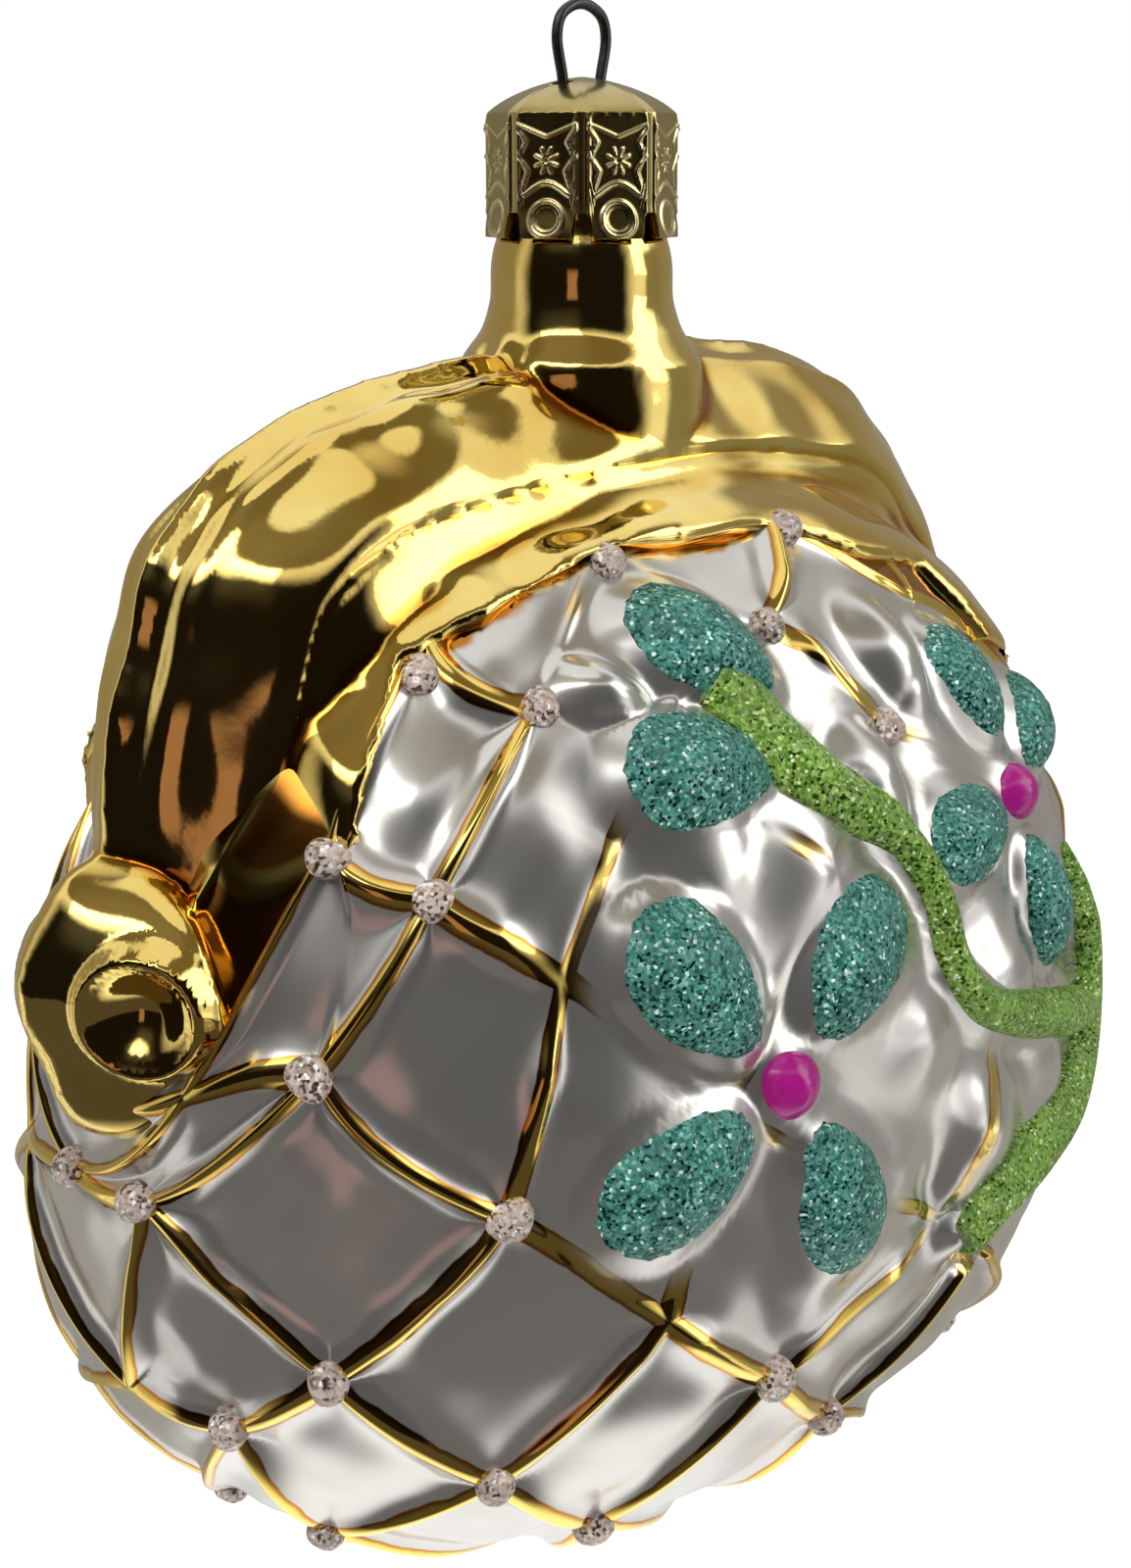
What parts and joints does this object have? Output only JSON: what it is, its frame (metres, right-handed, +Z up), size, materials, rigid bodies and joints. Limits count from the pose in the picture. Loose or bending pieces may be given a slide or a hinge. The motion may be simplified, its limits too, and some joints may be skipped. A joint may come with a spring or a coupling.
{
  "type": "purse ornament",
  "caption": "Hollow blown-glass hanging tree ornament shaped as a quilted coin purse, with a raised flower spray, a stamped crown cap and a bent wire loop.",
  "frame": {"origin": "inside the top of the wire loop, on the neck's axis, where a hook carries the ornament", "axes": "+Z up along the neck; X runs from hinge to hinge of the purse frame; the flower spray faces -Y"},
  "size_m": [0.1088, 0.0713, 0.12],
  "materials": {
    "dark_steel_wire": "darkened drawn wire",
    "pale_gold_tin": "thin stamped sheet, pale antique gold, satin",
    "silvered_glass": "opaque: silvered inside; gold lacquer on frame, neck and lattice lines, satin lacquer on the panels",
    "teal_glitter": "fine glitter in lacquer",
    "green_glitter": "fine glitter in lacquer",
    "magenta_enamel": "glossy enamel drop",
    "pale_glitter": "glitter in clear glue"
  },
  "bodies": {
    "hanger": {"hanger_wire": "dark_steel_wire"},
    "cap": {"ornament_cap": "pale_gold_tin"},
    "glass": {"glass_shell": "silvered_glass", "flower_stems": "green_glitter", "flower_one_petal_upper_left": "teal_glitter", "flower_one_petal_upper_right": "teal_glitter", "flower_one_petal_lower_left": "teal_glitter", "flower_one_petal_lower_right": "teal_glitter", "flower_two_petal_upper_left": "teal_glitter", "flower_two_petal_upper_right": "teal_glitter", "flower_two_petal_lower_left": "teal_glitter", "flower_two_petal_lower_right": "teal_glitter", "bud_petal_upper": "teal_glitter", "bud_petal_lower": "teal_glitter", "flower_one_centre": "magenta_enamel", "flower_two_centre": "magenta_enamel", "glitter_dot_01": "pale_glitter", "glitter_dot_02": "pale_glitter", "glitter_dot_03": "pale_glitter", "glitter_dot_04": "pale_glitter", "glitter_dot_05": "pale_glitter", "glitter_dot_06": "pale_glitter", "glitter_dot_07": "pale_glitter", "glitter_dot_08": "pale_glitter", "glitter_dot_09": "pale_glitter", "glitter_dot_10": "pale_glitter", "glitter_dot_11": "pale_glitter", "glitter_dot_12": "pale_glitter", "glitter_dot_13": "pale_glitter", "glitter_dot_14": "pale_glitter", "glitter_dot_15": "pale_glitter", "glitter_dot_16": "pale_glitter", "glitter_dot_17": "pale_glitter", "glitter_dot_18": "pale_glitter", "glitter_dot_19": "pale_glitter", "glitter_dot_20": "pale_glitter", "glitter_dot_21": "pale_glitter", "glitter_dot_22": "pale_glitter", "glitter_dot_23": "pale_glitter", "glitter_dot_24": "pale_glitter", "glitter_dot_25": "pale_glitter", "glitter_dot_26": "pale_glitter", "glitter_dot_27": "pale_glitter", "glitter_dot_28": "pale_glitter", "glitter_dot_29": "pale_glitter"}
  },
  "joints": [
    {"name": "wire_slide", "type": "slide", "parent": "hanger", "child": "cap", "axis": [0, 0, 1], "range_m": [0, 0.0025]},
    {"name": "cap_pull_off", "type": "slide", "parent": "cap", "child": "glass", "axis": [0, 0, -1], "range_m": [0, 0.035]}
  ]
}
